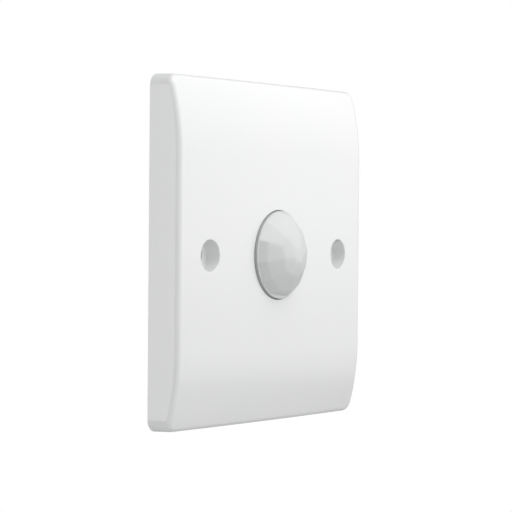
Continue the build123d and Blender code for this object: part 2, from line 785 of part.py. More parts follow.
with BuildPart() as relay_yoke:
    plate_end = coil_z + pole_radius
    plate_start = leg_z - yoke_thickness / 2
    block(yoke_width, plate_end - plate_start, bobbin_front, yoke_front,
          [(relay_x, (plate_end + plate_start) / 2)])
    block(yoke_width, yoke_thickness, leg_back, yoke_front, [(relay_x, leg_z)])
    rod(core_radius + core_gap, bobbin_front, yoke_front, [(relay_x, coil_z)], mode=Mode.SUBTRACT)
finish(relay_yoke.part, "relay_yoke")

with BuildPart() as relay_armature:
    armature_end = coil_z + pole_radius + yoke_thickness
    armature_run = armature_end - (leg_z - yoke_thickness / 2)
    block(yoke_width, armature_run, armature_back, armature_front,
          [(relay_x, armature_end - armature_run / 2)])
finish(relay_armature.part, "relay_armature")

with BuildPart() as relay_blade:
    blade_end = contact_z + contact_radius
    blade_start = coil_z - pole_radius
    block(blade_width, blade_end - blade_start, blade_back, armature_back,
          [(relay_x, (blade_end + blade_start) / 2)])
    rod(contact_radius, armature_back, armature_back - contact_thickness, [(relay_x, contact_z)])
finish(relay_blade.part, "relay_blade")

fixed_contact_back = armature_back - contact_thickness - contact_travel
with BuildPart() as relay_fixed_contact:
    strip_back = fixed_contact_back - contact_thickness
    rod(contact_radius, fixed_contact_back, strip_back, [(relay_x, contact_z)])
    strip_end = fixed_leg_place[1] + relay_pin_thickness / 2
    strip_start = contact_z - contact_radius
    block(blade_width, strip_end - strip_start, strip_back, strip_back - relay_pin_thickness,
          [(relay_x, (strip_end + strip_start) / 2)])
    block(relay_pin_width, relay_pin_thickness, strip_back, pins_front, [fixed_leg_place])
finish(relay_fixed_contact.part, "relay_fixed_contact")

with BuildPart() as relay_hinge_spring:
    spring_z = leg_z - yoke_thickness / 2 - spring_thickness / 2 - pilot_gap
    lip_end = leg_z + yoke_thickness
    spring_back = armature_back + armature_seat_gap
    block(spring_width, spring_thickness, spring_back, coil_front, [(relay_x, spring_z)])
    block(spring_width, lip_end - spring_z + spring_thickness / 2, spring_back + spring_thickness, spring_back,
          [(relay_x, (lip_end + spring_z - spring_thickness / 2) / 2)])
finish(relay_hinge_spring.part, "relay_hinge_spring")

with BuildPart() as relay_pins:
    block(relay_pin_width, relay_pin_thickness, base_back, pins_front, coil_pin_places)
finish(relay_pins.part, "relay_pins")

# Supply parts on the power board

with BuildPart() as dropper_capacitor:
    block(dropper_size[0], dropper_size[1], power_back + dropper_size[2], power_back,
          [(dropper_x, dropper_rise)])
    fillet(edges().filter_by(Axis.Y) + faces().sort_by(Axis.Y)[-1].edges(), radius=dropper_round)
finish(dropper_capacitor.part, "dropper_capacitor")

can_top = power_back + electrolytic_height
inside = electrolytic_radius - sleeve_wall
with BuildPart() as smoothing_capacitor:
    turned([(0, power_back), (inside, power_back), (inside, power_back + electrolytic_bung),
            (inside * 0.94, power_back + 1.5 * electrolytic_bung), (inside, power_back + 2 * electrolytic_bung),
            (inside, can_top - sleeve_wall), (0, can_top - sleeve_wall)],
           *electrolytic_place)
finish(smoothing_capacitor.part, "smoothing_capacitor")

with BuildPart() as capacitor_sleeve:
    turned([(inside, power_back), (electrolytic_radius, power_back), (electrolytic_radius, can_top),
            (inside - sleeve_lip, can_top), (inside - sleeve_lip, can_top - sleeve_wall),
            (inside, can_top - sleeve_wall)], *electrolytic_place)
finish(capacitor_sleeve.part, "capacitor_sleeve")


def lying_part(x, z, level, radii, span, along):
    """A turned body that lies on the board between two bent leads."""
    tangent = Axis((x, level, z), along)
    across = Plane(origin=(x, level, z), x_dir=along, z_dir=Vector(along).cross(Vector(0, 1, 0)))
    with BuildSketch(across) as section:
        with BuildLine():
            Polyline([(radii[0][0], 0)] + radii + [(radii[-1][0], 0)], close=True)
        make_face()
    revolve(section.sketch, axis=tangent)
    with BuildSketch(layer(level + wire_side / 2)) as wire:
        with Locations((x, z)):
            Rectangle(span if along[0] else wire_side, wire_side if along[0] else span)
    extrude(wire.sketch, amount=wire_side)
    reach = (span - wire_side) / 2
    block(wire_side, wire_side, level + wire_side / 2, power_back,
          [(x + s * reach * along[0], z + s * reach * along[2]) for s in (-1, 1)])


with BuildPart() as rectifier_diodes:
    first_diode = diode_radius + board_gap - power_board_width / 2
    half = diode_length / 2
    for i in range(diode_count):
        lying_part(first_diode + i * diode_pitch, diode_rise, power_back + diode_radius,
                   [(-half, diode_radius), (half, diode_radius)], diode_lead_span, (0, 0, 1))
finish(rectifier_diodes.part, "rectifier_diodes")

with BuildPart() as fuse_resistor:
    half = fuse_length / 2
    lying_part(fuse_place[0], fuse_place[1], power_back + fuse_end_radius,
               [(-half, fuse_end_radius), (fuse_cap - half, fuse_end_radius), (fuse_cap - half, fuse_radius),
                (half - fuse_cap, fuse_radius), (half - fuse_cap, fuse_end_radius), (half, fuse_end_radius)],
               fuse_lead_span, (1, 0, 0))
finish(fuse_resistor.part, "fuse_resistor")

with BuildPart() as varistor:
    disc_level = power_back + varistor_height + varistor_radius
    with BuildSketch(Plane.XY.offset(varistor_place[1] - varistor_thickness / 2)) as disc:
        with Locations((varistor_place[0], disc_level)):
            Circle(varistor_radius)
    extrude(disc.sketch, amount=varistor_thickness)
    fillet(edges().filter_by(GeomType.CIRCLE), radius=varistor_thickness / 4)
    block(wire_side, wire_side, disc_level - varistor_radius / 2, power_back, [
        (varistor_place[0] + s * varistor_radius / 2, varistor_place[1]) for s in (-1, 1)])
finish(varistor.part, "varistor")

with BuildPart() as driver_transistor:
    body_front = power_back + transistor_standoff
    rod(transistor_radius, body_front + transistor_height, body_front, [transistor_place])
    block(2 * transistor_radius, transistor_radius, body_front + transistor_height, body_front,
          [(transistor_place[0], transistor_place[1] - transistor_flat - transistor_radius / 2)],
          mode=Mode.SUBTRACT)
    block(wire_side, wire_side, body_front, power_back, [
        (transistor_place[0] + i * pin_pitch / 2, transistor_place[1]) for i in (-1, 0, 1)])
finish(driver_transistor.part, "driver_transistor")

# Setting knobs

trimmer_back = power_back + trimmer_height
for name, place in knob_places.items():
    with BuildPart() as trimmer:
        block(trimmer_width, trimmer_length, trimmer_back, power_back, [place])
        chamfer(edges().filter_by(Axis.Y), length=trimmer_corner)
        rod(knob_pin_radius + running_gap, trimmer_back, trimmer_back - knob_pin_length - free_gap, [place],
            mode=Mode.SUBTRACT)
    finish(trimmer.part, f"{name}_trimmer")

    with BuildPart() as knob:
        disc_front = trimmer_back + free_gap
        knob_back = hump_depth + knob_proud
        turned([(0, trimmer_back - knob_pin_length), (knob_pin_radius, trimmer_back - knob_pin_length),
                (knob_pin_radius, disc_front), (knob_disc_radius, disc_front),
                (knob_disc_radius, disc_front + knob_disc), (knob_radius, disc_front + knob_disc),
                (knob_radius, knob_back), (0, knob_back)], *place)
        block(knob_slot_width, knob_slot_length, knob_back, knob_back - knob_slot_depth, [place],
              mode=Mode.SUBTRACT)
    finish(knob.part, f"{name}_knob")

# Terminals: a screw turns in place and draws its cage up, so that the wire is held under the fixed bar

block_back = power_back + block_height
head_back = block_back - screw_recess
head_front = head_back - terminal_head
chamber_back = head_front - shelf_thickness
chamber_front = power_back + chamber_floor
clamp_front = chamber_front + bar_gap
clamp_back = clamp_front + clamp_floor + clamp_opening + clamp_top
bar_back = clamp_back - clamp_top - bar_gap
bar_front = bar_back - bar_thickness
screw_tip = bar_back + 2 * bar_gap
clamp_width = chamber_width - 2 * chamber_gap
chamber_low = block_low + block_front_wall
clamp_z = chamber_low + chamber_gap + clamp_length / 2

with BuildPart() as terminal_block:
    block(block_width, block_depth_z, block_back, power_back, [(0, (block_low + block_high) / 2)])
    chamfer(edges().filter_by(Axis.X).group_by(Axis.Y)[-1].sort_by(Axis.Z)[0], length=block_front_wall / 2)
    chamber_middle = chamber_low + chamber_length / 2
    block(chamber_width, chamber_length, chamber_back, chamber_front,
          [(x, chamber_middle) for x in pole_places], mode=Mode.SUBTRACT)
    block(entry_width, 2 * block_front_wall, bar_front, clamp_front + clamp_floor,
          [(x, block_low) for x in pole_places], mode=Mode.SUBTRACT)
    poles = [(x, clamp_z) for x in pole_places]
    rod(terminal_screw_radius + shank_gap, head_front, chamber_back, poles, mode=Mode.SUBTRACT)
    rod(terminal_head_radius + shank_gap, head_back + head_gap, head_front, poles, mode=Mode.SUBTRACT)
    rod(recess_lip_radius, block_back, head_back, poles, mode=Mode.SUBTRACT)
    leg_hole = bar_thickness + 2 * pin_gap
    leg_high = bar_leg_z + leg_hole / 2
    block(bar_width + 2 * pin_gap, leg_high - chamber_low - chamber_length / 2, bar_back + bar_gap, power_back,
          [(x, (leg_high + chamber_low + chamber_length / 2) / 2) for x in pole_places], mode=Mode.SUBTRACT)
finish(terminal_block.part, "terminal_block")

for name, x in zip(terminal_names, pole_places):
    with BuildPart() as screw:
        turned([(0, screw_tip), (terminal_screw_radius, screw_tip), (terminal_screw_radius, head_front),
                (terminal_head_radius, head_front), (terminal_head_radius, head_back), (0, head_back)],
               x, clamp_z)
        block(terminal_slot_width, 2 * terminal_head_radius, head_back, head_back - terminal_slot_depth,
              [(x, clamp_z)], mode=Mode.SUBTRACT)
    finish(screw.part, f"terminal_screw_{name}")

    with BuildPart() as clamp:
        block(clamp_width, clamp_length, clamp_back, clamp_front, [(x, clamp_z)])
        block(clamp_width - 2 * clamp_wall, clamp_length, clamp_back - clamp_top, clamp_front + clamp_floor,
              [(x, clamp_z)], mode=Mode.SUBTRACT)
        rod(terminal_screw_radius + thread_gap, clamp_back, clamp_back - clamp_top, [(x, clamp_z)],
            mode=Mode.SUBTRACT)
    finish(clamp.part, f"terminal_clamp_{name}")

    with BuildPart() as bar:
        bar_low = clamp_z - clamp_length / 2
        bar_high = bar_leg_z + bar_thickness / 2
        block(bar_width, bar_high - bar_low, bar_back, bar_front, [(x, (bar_high + bar_low) / 2)])
        block(bar_width, bar_thickness, bar_back, power_board_depth - bar_tail, [(x, bar_leg_z)])
    finish(bar.part, f"terminal_bar_{name}")
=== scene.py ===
import bmesh
import bpy
import json
import math
import numpy as np
from mathutils import Matrix, Vector


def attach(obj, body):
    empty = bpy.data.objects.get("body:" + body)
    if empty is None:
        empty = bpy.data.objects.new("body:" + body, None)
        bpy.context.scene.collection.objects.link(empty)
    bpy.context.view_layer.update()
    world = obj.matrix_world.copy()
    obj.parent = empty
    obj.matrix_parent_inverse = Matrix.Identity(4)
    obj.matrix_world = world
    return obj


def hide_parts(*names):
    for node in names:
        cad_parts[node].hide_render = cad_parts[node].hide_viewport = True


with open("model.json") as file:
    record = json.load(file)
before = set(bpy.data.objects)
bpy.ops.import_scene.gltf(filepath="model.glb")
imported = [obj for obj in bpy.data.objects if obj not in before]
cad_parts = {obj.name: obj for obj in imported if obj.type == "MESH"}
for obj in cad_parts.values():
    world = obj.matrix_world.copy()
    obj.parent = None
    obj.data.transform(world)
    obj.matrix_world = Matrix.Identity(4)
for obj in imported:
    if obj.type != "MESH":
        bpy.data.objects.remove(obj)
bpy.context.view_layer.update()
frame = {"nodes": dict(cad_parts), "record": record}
nodes = frame["nodes"]
mm = 0.001  # the scene is in metres, and sizes below are in millimetres
print("stage: frame loaded,", len(nodes), "nodes")


# Geometry helpers. The wall's face is at depth 0, the front has a negative depth, and x runs to the right

meshing = {
    "doubled": 0.002, "empty": 0.001,  # points this close are one point, and edges this short are dropped
    "straight": 1.56,  # from this half angle on, a corner isn't rounded
    "mostOfRun": 0.49,  # an arc takes up at most this share of a run
}


def quadsOf(rows, columns, closed):
    # faces between neighbours of a grid, row by row, the last column joined to the first where closed
    index = np.arange(rows * columns).reshape(rows, columns)
    if closed:
        index = np.hstack([index, index[:, :1]])
    corners = [index[:-1, :-1], index[:-1, 1:], index[1:, 1:], index[1:, :-1]]
    return np.stack(corners, axis=-1).reshape(-1, 4)


def addMesh(name, points, quads):
    # an object at the origin, whose mesh has these points in mm and these faces
    mesh = bpy.data.meshes.new(name)
    mesh.from_pydata((points * mm).tolist(), [], quads.tolist())
    made = bpy.data.objects.new(name, mesh)
    bpy.context.scene.collection.objects.link(made)
    return made


def tidyMesh(mesh, sharp):
    # merges doubled points, drops empty faces, turns faces outwards and marks edges sharper than the angle
    shape = bmesh.new()
    shape.from_mesh(mesh)
    bmesh.ops.remove_doubles(shape, verts=shape.verts, dist=meshing["doubled"] * mm)
    bmesh.ops.dissolve_degenerate(shape, edges=shape.edges, dist=meshing["empty"] * mm)
    bmesh.ops.recalc_face_normals(shape, faces=shape.faces)
    shape.to_mesh(mesh)
    shape.free()
    mesh.polygons.foreach_set("use_smooth", [True] * len(mesh.polygons))
    mesh.set_sharp_from_angle(angle=math.radians(sharp))


def makePiece(name, grids, body, replaced, material, sharp):
    # joins grids of points, each (rows, columns, 3) in mm with a closed flag, into one mesh without seams
    points, quads, count = [], [], 0
    for grid, closed in grids:
        rows, columns = grid.shape[:2]
        points.append(grid.reshape(-1, 3))
        quads.append(quadsOf(rows, columns, closed) + count)
        count += rows * columns
    piece = addMesh(name, np.vstack(points), np.vstack(quads))
    tidyMesh(piece.data, sharp)
    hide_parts(*replaced)
    piece.data.materials.append(material)
    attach(piece, body)
    return piece


def roundedProfile(corners, radii, steps=4):
    # an open line of (radius, depth) corners, each rounded by an arc tangent to its two runs: the arc starts
    # its radius over the tangent of half the angle away, and its middle is on the line that halves the angle
    line = [corners[0]]
    for before, corner, after, radius in zip(corners, corners[1:], corners[2:], radii):
        corner = np.array(corner, float)
        toBefore, toAfter = np.array(before) - corner, np.array(after) - corner
        lengths = np.linalg.norm(toBefore), np.linalg.norm(toAfter)
        toBefore, toAfter = toBefore / lengths[0], toAfter / lengths[1]
        half = math.acos(np.clip(toBefore @ toAfter, -1, 1)) / 2
        if radius <= 0 or half > meshing["straight"]:
            line.append(tuple(corner))
            continue
        reach = min(radius / math.tan(half), *[length * meshing["mostOfRun"] for length in lengths])
        radius = reach * math.tan(half)
        halving = (toBefore + toAfter) / np.linalg.norm(toBefore + toAfter)
        middle = corner + halving * radius / math.sin(half)
        start, end = corner + toBefore * reach - middle, corner + toAfter * reach - middle
        turn = math.atan2(start[0] * end[1] - start[1] * end[0], start @ end)
        for share in np.linspace(0, 1, steps + 1):
            c, s = math.cos(turn * share), math.sin(turn * share)
            line.append((middle[0] + c * start[0] - s * start[1], middle[1] + s * start[0] + c * start[1]))
    line.append(corners[-1])
    return np.array(line, float)


def turnedGrid(profile, x, z, count):
    # the (radius, depth) profile turned about the line through (x, z) square to the wall
    angle = np.arange(count) * 2 * math.pi / count
    radius, depth = profile[:, :1], profile[:, 1:]
    sides = [x + radius * np.cos(angle), depth + 0 * angle, z + radius * np.sin(angle)]
    return np.stack(sides, axis=-1), True


# Materials

skins = {
    "cloud": 25.0, "cloudDetail": 2.0,  # the slow clouds in a moulding's colour, in mm
    "grainDetail": 3.0, "grainRoughness": 0.6, "mouldedSpread": 0.2,  # its grain, and the spread of its gloss
    "marksDetail": 4.0, "marksDepth": 0.004, "platedSpread": 0.3,  # a metal's marks in mm, and its spread
}


def linear(code):
    # an sRGB hex value as a linear colour: a dark channel is divided by 12.92, and any other one is raised by
    # 0.055, divided by 1.055 and taken to the power of 2.4
    channels = np.array([int(code[i:i + 2], 16) for i in (1, 3, 5)]) / 255
    low, high = channels / 12.92, ((channels + 0.055) / 1.055) ** 2.4
    return (*np.where(channels <= 0.04045, low, high).tolist(), 1.0)


def addNode(tree, kind, inputs=None, **settings):
    # adds a node, sets its properties, and sets or links its inputs
    made = tree.nodes.new(kind)
    for name, value in settings.items():
        setattr(made, name, value)
    for name, value in (inputs or {}).items():
        if isinstance(value, bpy.types.NodeSocket):
            tree.links.new(value, made.inputs[name])
        else:
            made.inputs[name].default_value = value
    return made


def startMaterial(name, **constants):
    # a material with its shader, its constant sockets set, and the piece's own coordinates
    material = bpy.data.materials.new(name)
    material.use_nodes = True
    tree = material.node_tree
    shader = tree.nodes["Principled BSDF"]
    for socket, value in constants.items():
        shader.inputs[socket.replace("_", " ")].default_value = value
    place = addNode(tree, "ShaderNodeTexCoord").outputs["Object"]
    return material, tree, shader, place


def giveSkin(tree, shader, clouds, grain, shades, roughness, spread, depth):
    # the colour runs from one shade to the other with the clouds. The roughness runs from its value less the
    # spread's share to its value plus it with the grain, which is also the bump, of the given depth in mm
    colour = addNode(tree, "ShaderNodeMix", {0: clouds, 6: linear(shades[0]), 7: linear(shades[1])},
                     data_type="RGBA")
    gloss = addNode(tree, "ShaderNodeMapRange", {"Value": grain, "To Min": roughness * (1 - spread),
                                                 "To Max": roughness * (1 + spread)})
    bump = addNode(tree, "ShaderNodeBump", {"Height": grain, "Distance": depth * mm, "Strength": 1.0})
    tree.links.new(colour.outputs[2], shader.inputs["Base Color"])
    tree.links.new(gloss.outputs["Result"], shader.inputs["Roughness"])
    tree.links.new(bump.outputs["Normal"], shader.inputs["Normal"])


def moulded(name, shade, tint, roughness, grain, depth, **constants):
    # a moulded or dipped skin: two close shades in slow clouds, and a grain of the given size in mm. Most
    # moulds' real grain is under 0.1 mm and too fine to show, so it is drawn this coarse
    material, tree, shader, place = startMaterial(name, **constants)
    clouds = addNode(tree, "ShaderNodeTexNoise", {"Vector": place, "Scale": 1 / (skins["cloud"] * mm),
                                                  "Detail": skins["cloudDetail"]})
    skin = addNode(tree, "ShaderNodeTexNoise", {"Vector": place, "Scale": 1 / (grain * mm),
                                                "Detail": skins["grainDetail"],
                                                "Roughness": skins["grainRoughness"]})
    giveSkin(tree, shader, clouds.outputs["Fac"], skin.outputs["Fac"], (shade, tint), roughness,
             skins["mouldedSpread"], depth)
    return material


def plated(name, shade, tint, roughness, grain, stretch):
    # a plated or drawn metal: marks of the given size in mm, long where the stretch is small, which vary its
    # gloss and colour a little. Real marks are too fine to show, so they are drawn this coarse
    material, tree, shader, place = startMaterial(name, Metallic=1.0)
    marks = addNode(tree, "ShaderNodeMapping", {"Vector": place, "Scale": stretch})
    noise = addNode(tree, "ShaderNodeTexNoise", {"Vector": marks.outputs["Vector"], "Scale": 1 / (grain * mm),
                                                 "Detail": skins["marksDetail"]}).outputs["Fac"]
    giveSkin(tree, shader, noise, noise, (shade, tint), roughness, skins["platedSpread"], skins["marksDepth"])
    return material


def paintSocketShadow(material, shade, start, end):
    # paints shadow into a material's colour: blends it to a darker shade by a smooth step between two depths
    # in mm, a painted shadow that stands for the light the socket takes from the foot
    tree = material.node_tree
    base = tree.nodes["Principled BSDF"].inputs["Base Color"]
    place = addNode(tree, "ShaderNodeTexCoord").outputs["Object"]
    depth = addNode(tree, "ShaderNodeSeparateXYZ", {0: place}).outputs[1]
    share = addNode(tree, "ShaderNodeMapRange", {"Value": depth, "From Min": start * mm,
                                                 "From Max": end * mm}, interpolation_type="SMOOTHSTEP")
    colour = addNode(tree, "ShaderNodeMix", {0: share.outputs["Result"], 6: base.links[0].from_socket,
                                             7: linear(shade)}, data_type="RGBA")
    tree.links.new(colour.outputs[2], base)


# Urea moulding for the plate: hard and glossy, with the faint ripple of a polished mould
glossyUrea = moulded("glossyUreaMoulding", "#eff0ef", "#edeeee", 0.19, 3.0, 0.0015, IOR=1.58)

# Polyethylene lens: thin and milky, so its near side lets the dark inside show through softly
milkyPolyethylene = moulded("milkyPolyethyleneLens", "#f4f6f5", "#eff2f1", 0.33, 0.8, 0.0008, IOR=1.53,
                            Transmission_Weight=0.22)

# ABS casing: plain and matt, from a lightly spark-eroded mould
sparkErodedAbs = moulded("sparkErodedAbsCasing", "#e4e4e0", "#dfdfdb", 0.42, 0.45, 0.012, IOR=1.53)

partFinishes = {
    # zinc plated steel wire, headed: cool grey with a soft shine
    "zinc_steel": plated("zincPlatedSteel", "#b9bcc0", "#a5a8ad", 0.28, 0.5, (1, 0.2, 1)),
    # nickel plated steel wire, headed: warm grey and brighter than zinc
    "nickel_screw": plated("nickelPlatedSteelScrew", "#c9c4b8", "#b5b0a5", 0.22, 0.4, (1, 0.3, 1)),
    # nickel plated steel, deep drawn: warm grey with faint lines along the draw
    "nickel_steel": plated("nickelPlatedCan", "#c5c2ba", "#b0ada6", 0.25, 0.3, (1, 0.1, 1)),
    # tinned copper wire, drawn: pale and slightly dull
    "tinned_pin": plated("tinnedCopper", "#cfcfcb", "#b8b8b4", 0.3, 0.2, (1, 0.2, 1)),
    # plated soft iron, stamped: darker grey with a dull sheen
    "soft_iron": plated("platedSoftIron", "#9d9d99", "#858581", 0.35, 0.4, (1, 0.2, 1)),
    # phosphor bronze strip, rolled: orange metal, its marks along the strip
    "contact_bronze": plated("phosphorBronzeStrip", "#c08d5a", "#a9794a", 0.3, 0.3, (0.1, 1, 1)),
    # tinned brass bar, stamped: pale yellow metal, its marks along the bar
    "terminal_brass": plated("tinnedBrassBar", "#cdb070", "#b89b5e", 0.3, 0.3, (0.2, 1, 1)),
    # aluminium can, deep drawn: pale grey with long faint lines
    "aluminium_can": plated("drawnAluminiumCan", "#d0d0d0", "#bcbcbc", 0.3, 0.3, (1, 0.05, 1)),
    # enamelled copper wire, wound: reddish brown with fine lines round the coil
    "copper_winding": plated("enamelledCopperWire", "#b5652f", "#8c4a20", 0.32, 0.15, (0.1, 5, 0.1)),
    "white_moulding": sparkErodedAbs,
    "plate_white": glossyUrea,
    "lens_polyethylene": milkyPolyethylene,
    # solder mask over glass epoxy: green, smooth and half glossy
    "board_green": moulded("solderMaskOnGlassEpoxy", "#1d5b34", "#174c2c", 0.3, 0.6, 0.01, IOR=1.5),
    # silicon filter, polished and coated: nearly black with a sharp shine
    "infrared_filter": moulded("siliconFilter", "#1f1a1c", "#171315", 0.08, 2.0, 0.0005, IOR=2.4),
    # pyroelectric ceramic, fired: sandy and matt
    "ceramic_element": moulded("firedPyroelectricCeramic", "#cfc19a", "#c4b58d", 0.5, 0.2, 0.004),
    # photocell ceramic under clear lacquer: warm tan and glossy
    "photocell_ceramic": moulded("coatedPhotocell", "#d49a6a", "#c58757", 0.25, 0.5, 0.004, IOR=1.5),
    # epoxy, moulded: black and matt with a fine grain
    "black_epoxy": moulded("mouldedBlackEpoxy", "#1b1b1d", "#141416", 0.45, 0.15, 0.006),
    # chip ceramic, glazed: dark brown grey with a soft shine
    "ceramic_chip": moulded("glazedChipCeramic", "#39342f", "#2b2723", 0.3, 0.2, 0.003),
    # black nylon, moulded: half matt
    "black_nylon": moulded("blackNylon", "#1d1d1e", "#151516", 0.4, 0.3, 0.006),
    # polyester case, moulded: blue with an even shine
    "relay_case": moulded("blueRelayCase", "#1f4f9c", "#1b468c", 0.25, 0.6, 0.003),
    # natural nylon, moulded: off-white and slightly waxy
    "bobbin_nylon": moulded("naturalNylonBobbin", "#e0dccb", "#d6d1be", 0.4, 0.4, 0.004),
    # polyester case, moulded: egg yellow with an even shine
    "film_capacitor_case": moulded("yellowCapacitorCase", "#dcae2a", "#d0a123", 0.3, 0.5, 0.005),
    # polyester sleeve, shrunk on: navy and glossy, slightly rippled
    "capacitor_sleeve": moulded("shrunkPolyesterSleeve", "#14203c", "#101a31", 0.2, 1.2, 0.006),
    # epoxy, dipped: blue and glossy with the slow waves of a run coat
    "blue_epoxy": moulded("dippedBlueEpoxy", "#1c3f94", "#183784", 0.18, 1.5, 0.02),
    # cement coating, dipped and baked: grey green and chalky
    "flameproof_coating": moulded("flameproofCementCoating", "#7f8d7b", "#73806f", 0.55, 0.25, 0.01),
    # grey nylon, moulded: half matt
    "terminal_nylon": moulded("greyNylonTerminal", "#cfd0cc", "#c6c7c3", 0.33, 0.5, 0.006, IOR=1.53),
    # polyester case, moulded: dark blue and half matt
    "trimmer_case": moulded("blueTrimmerCase", "#1d4a96", "#183f83", 0.35, 0.4, 0.004),
    # acetal, moulded: creamy white and slightly waxy
    "knob_plastic": moulded("whiteAcetalKnob", "#e3e1da", "#dad8d1", 0.35, 0.5, 0.004, IOR=1.48),
}

slots = {entry["node"]: entry["material_slot"] for entry in frame["record"]["subparts"]}
for nodeName, nodeObject in nodes.items():
    nodeObject.data.materials.clear()
    nodeObject.data.materials.append(partFinishes[slots[nodeName]])
print("stage: materials on", len(nodes), "nodes")


# Front plate: a crowned face with curved ends, drafted sides, rounded rims, screw pockets and a lens opening

plate = {
    "halfSize": 43.0, "rise": 0.65, "cornerRadius": 3.0, "draft": math.tan(math.radians(1.6)),
    "faceDepth": 9.8, "crown": 1.1, "flatHalf": 24.3, "endRadius": 60.0, "faceWall": 2.4, "sideWall": 2.0,
    "rimRound": 1.5, "backRound": 0.2, "innerRound": 0.4, "edgeRound": 0.16,
    "holeX": 30.15, "holeRadius": 2.0, "pocketRadius": 3.87, "pocketDepth": 3.7, "pocketTop": 2.5,
    "bossRadius": 4.9, "bossRoot": -6.0, "pocketRounds": (0.25, 0.15, 0.15, 0.2),
    "openingRadius": 11.28, "openingTop": 1.2, "socketRadius": 13.15, "socketOuter": 14.75,
    "socketBack": -4.5, "socketRoot": 0.3, "openingRounds": (0.12, 0.15, 0.15, 0.15), "sharpAngle": 40,
    # the grid: where the face's three parts meet, and how many points and rows its runs and surfaces take
    "dividers": 15.0, "runPoints": 26, "cornerSteps": 10, "dividerPoints": 60, "lipSteps": 4,
    "rimRows": 9, "sideShares": (0.75, 0.5, 0.25, 0.0), "backRows": 5, "innerShares": (0.33, 0.67),
    "innerAngles": (0, 30, 60, 90), "faceRows": 30, "faceCrowding": 1.4, "insideCrowding": 1.2,
    "readingStep": 0.2,  # how far inside an edge the face's slope and height are read
}
crownRadius = (plate["halfSize"] ** 2 + plate["crown"] ** 2) / (2 * plate["crown"])


def faceDepthAt(x, z, skin=0.0):
    # depth of the face, or of a skin this far inside it: a cylinder's arc across, whose radius drops
    # along the tangent arcs of the two ends
    over = np.clip(np.abs(z - plate["rise"]) - plate["flatHalf"], 0, None)
    bend = plate["endRadius"] - skin
    reach = crownRadius - skin - (bend - np.sqrt(bend ** 2 - over ** 2))
    return crownRadius - plate["faceDepth"] - np.sqrt(reach ** 2 - x ** 2)


def plateSpine():
    # the plate's outline as a square spine with outward normals, in pieces that run anticlockwise from the
    # top right divider: the outline at an inset is the spine plus the corner radius less the inset
    straight = plate["halfSize"] - plate["cornerRadius"]
    split, points = plate["dividers"], plate["runPoints"]
    pieces = {}

    def side(name, start, end, normal, count):
        # even points from start to end
        along = np.linspace(0, 1, count)[:, None]
        spot = np.array(start) + (np.array(end) - np.array(start)) * along
        pieces[name] = np.hstack([spot, np.tile(normal, (count, 1))])

    def turn(name, x, z, start):
        # one spot, whose normal turns through a right angle
        count = plate["cornerSteps"] + 1
        angle = np.radians(np.linspace(start, start + 90, count))
        spot = np.tile([x * straight, z * straight], (count, 1))
        pieces[name] = np.hstack([spot, np.stack([np.cos(angle), np.sin(angle)], axis=-1)])

    side("topMiddle", (split, straight), (-split, straight), (0, 1), 2 * points)
    side("topLeft", (-split, straight), (-straight, straight), (0, 1), points)
    turn("cornerTopLeft", -1, 1, 90)
    side("left", (-straight, straight), (-straight, -straight), (-1, 0), 3 * points)
    turn("cornerLowLeft", -1, -1, 180)
    side("lowLeft", (-straight, -straight), (-split, -straight), (0, -1), points)
    side("lowMiddle", (-split, -straight), (split, -straight), (0, -1), 2 * points)
    side("lowRight", (split, -straight), (straight, -straight), (0, -1), points)
    turn("cornerLowRight", 1, -1, 270)
    side("right", (straight, -straight), (straight, straight), (1, 0), 3 * points)
    turn("cornerTopRight", 1, 1, 0)
    side("topRight", (straight, straight), (split, straight), (0, 1), points)
    return pieces


def insetOutline(spine, inset):
    # the outline's (x, z) at an inset, which may differ from point to point
    reach = plate["cornerRadius"] - np.broadcast_to(inset, spine.shape[:1])[:, None]
    spot = spine[:, :2] + spine[:, 2:] * reach
    return spot[:, 0], spot[:, 1] + plate["rise"]


